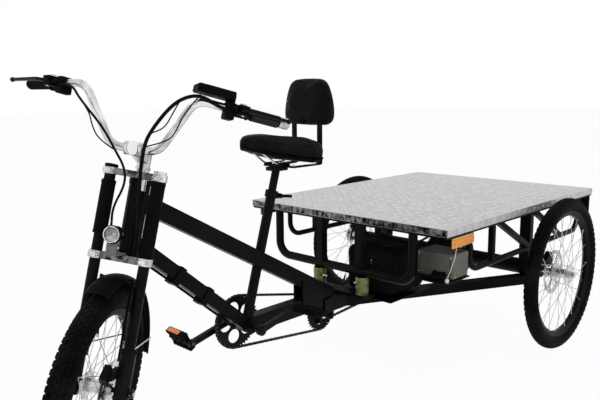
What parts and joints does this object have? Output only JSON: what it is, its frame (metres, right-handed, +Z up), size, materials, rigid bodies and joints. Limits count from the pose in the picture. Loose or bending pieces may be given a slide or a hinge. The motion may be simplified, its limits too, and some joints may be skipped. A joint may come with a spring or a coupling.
{
  "type": "cargo tricycle",
  "caption": "Flat-bed cargo tricycle with a suspended steering front wheel, padded saddle with backrest, chain drive through a jackshaft and a tread-plate deck over the rear axle.",
  "frame": {"origin": "on the ground below the centre of the bounding box", "axes": "+X forward, +Y to the rider's left, +Z up; the steering rests turned to the left"},
  "size_m": [2.4744, 1.178, 1.0973],
  "materials": {
    "tyre": "matte rubber",
    "rim": "satin",
    "bright_steel": "brushed",
    "frame_paint": "satin",
    "alloy": "satin",
    "tread_plate": "patterned",
    "black_alloy": "satin",
    "case": "satin",
    "chain_steel": "oiled",
    "black_plastic": "matte",
    "black_rubber": "matte",
    "buffer": "smooth",
    "amber": "gloss",
    "lens": "clear",
    "seat_cover": "grained",
    "bag_cloth": "woven"
  },
  "bodies": {
    "frame": {"head_tube": "frame_paint", "main_beam": "frame_paint", "down_tube": "frame_paint", "seat_tube": "frame_paint", "chain_stay": "frame_paint", "seat_collar": "frame_paint", "rear_chassis": "frame_paint", "axle_housing": "frame_paint", "buffers": "buffer", "deck_plate": "tread_plate", "deck_frame": "frame_paint", "front_hoop": "frame_paint", "side_truss_left": "frame_paint", "side_truss_right": "frame_paint", "side_reflectors": "amber", "battery_bag": "bag_cloth", "controller_box": "case", "drive_unit": "black_alloy", "pedal_chain": "chain_steel", "drive_chain": "chain_steel", "frame_cable": "black_rubber"},
    "steering": {"upper_crown": "alloy", "lower_crown": "alloy", "fork_covers": "black_plastic", "stanchions": "bright_steel", "stem": "alloy", "handlebar": "alloy", "left_grip": "black_rubber", "bar_controls": "black_plastic", "display": "black_plastic", "headlamp_body": "black_plastic", "headlamp_lens": "lens", "bar_cables": "black_rubber"},
    "fork_lower": {"fork_sliders": "alloy", "front_caliper": "black_alloy", "front_mudguard": "black_plastic", "mudguard_stays": "bright_steel"},
    "front_wheel": {"front_tyre": "tyre", "front_rim": "rim", "front_hub": "bright_steel"},
    "wheel_left": {"rear_tyre_left": "tyre", "rear_rim_left": "rim", "rear_hub_left": "bright_steel"},
    "wheel_right": {"rear_tyre_right": "tyre", "rear_rim_right": "rim", "rear_hub_right": "bright_steel"},
    "crankset": {"chainring": "chain_steel", "cranks": "alloy"},
    "pedal_l": {"pedal_left": "black_plastic"},
    "pedal_r": {"pedal_right": "black_plastic"},
    "jack": {"jackshaft": "chain_steel"},
    "axle_drive": {"axle_sprocket": "chain_steel"},
    "lever_l": {"brake_lever_left": "black_alloy"},
    "lever_r": {"brake_lever_right": "black_alloy"},
    "throttle": {"throttle_grip": "black_rubber"},
    "seat": {"seat_post": "bright_steel", "seat_frame": "frame_paint", "saddle": "seat_cover", "backrest_pad": "seat_cover"},
    "clamp_lever": {"seat_lever": "frame_paint"}
  },
  "joints": [
    {"name": "steering_turn", "type": "hinge", "parent": "frame", "child": "steering", "pos_m": [1.03678, 0, 0], "axis": [-0.2571, 0, 0.9664], "range_deg": [-87, 13]},
    {"name": "fork_travel", "type": "slide", "parent": "steering", "child": "fork_lower", "axis": [-0.2571, 0, 0.9664], "range_m": [0, 0.03], "stiffness_N_per_m": 9000, "springref_m": -0.05},
    {"name": "front_wheel_spin", "type": "hinge", "parent": "fork_lower", "child": "front_wheel", "pos_m": [1.00736, 0.03129, 0.27208], "axis": [-0.5816, 0.7986, -0.1547], "continuous": true},
    {"name": "wheel_left_spin", "type": "hinge", "parent": "frame", "child": "wheel_left", "pos_m": [-0.78022, 0.538, 0.307], "axis": [0, 1, 0], "continuous": true},
    {"name": "wheel_right_spin", "type": "hinge", "parent": "frame", "child": "wheel_right", "pos_m": [-0.78022, -0.538, 0.307], "axis": [0, 1, 0], "continuous": true},
    {"name": "crank_spin", "type": "hinge", "parent": "frame", "child": "crankset", "pos_m": [0.44978, 0, 0.288], "axis": [0, 1, 0], "continuous": true},
    {"name": "pedal_left_spin", "type": "hinge", "parent": "crankset", "child": "pedal_l", "pos_m": [0.28381, 0.136, 0.32479], "axis": [0, 1, 0], "continuous": true},
    {"name": "pedal_right_spin", "type": "hinge", "parent": "crankset", "child": "pedal_r", "pos_m": [0.61575, -0.136, 0.25121], "axis": [0, 1, 0], "continuous": true},
    {"name": "jackshaft_spin", "type": "hinge", "parent": "frame", "child": "jack", "pos_m": [0.03678, 0, 0.217], "axis": [0, 1, 0], "continuous": true},
    {"name": "axle_sprocket_spin", "type": "hinge", "parent": "frame", "child": "axle_drive", "pos_m": [-0.78022, -0.06, 0.307], "axis": [0, 1, 0], "continuous": true},
    {"name": "brake_left_squeeze", "type": "hinge", "parent": "steering", "child": "lever_l", "pos_m": [0.67379, 0.26944, 0.99854], "axis": [-0.2842, 0.0117, 0.9587], "range_deg": [0, 10], "stiffness_Nm_per_rad": 2, "springref_deg": -8.59},
    {"name": "brake_right_squeeze", "type": "hinge", "parent": "steering", "child": "lever_r", "pos_m": [0.9899, -0.16465, 1.08265], "axis": [0.2537, 0.0303, -0.9668], "range_deg": [0, 10], "stiffness_Nm_per_rad": 2, "springref_deg": -8.59},
    {"name": "throttle_twist", "type": "hinge", "parent": "steering", "child": "throttle", "pos_m": [0.9687, -0.24872, 1.07445], "axis": [0.1176, -0.9931, -0.0003], "range_deg": [0, 60], "stiffness_Nm_per_rad": 0.3, "springref_deg": -11.46},
    {"name": "seat_height", "type": "slide", "parent": "frame", "child": "seat", "axis": [-0.2857, 0, 0.9583], "range_m": [-0.05, 0.12]},
    {"name": "clamp_lever_turn", "type": "hinge", "parent": "frame", "child": "clamp_lever", "pos_m": [0.29628, 0.0144, 0.70138], "axis": [0, 1, 0], "range_deg": [-90, 0]}
  ],
  "couplings": [
    {"joint": "jackshaft_spin", "follows": "crank_spin", "ratio": 1.2941},
    {"joint": "axle_sprocket_spin", "follows": "crank_spin", "ratio": 0.77647}
  ]
}
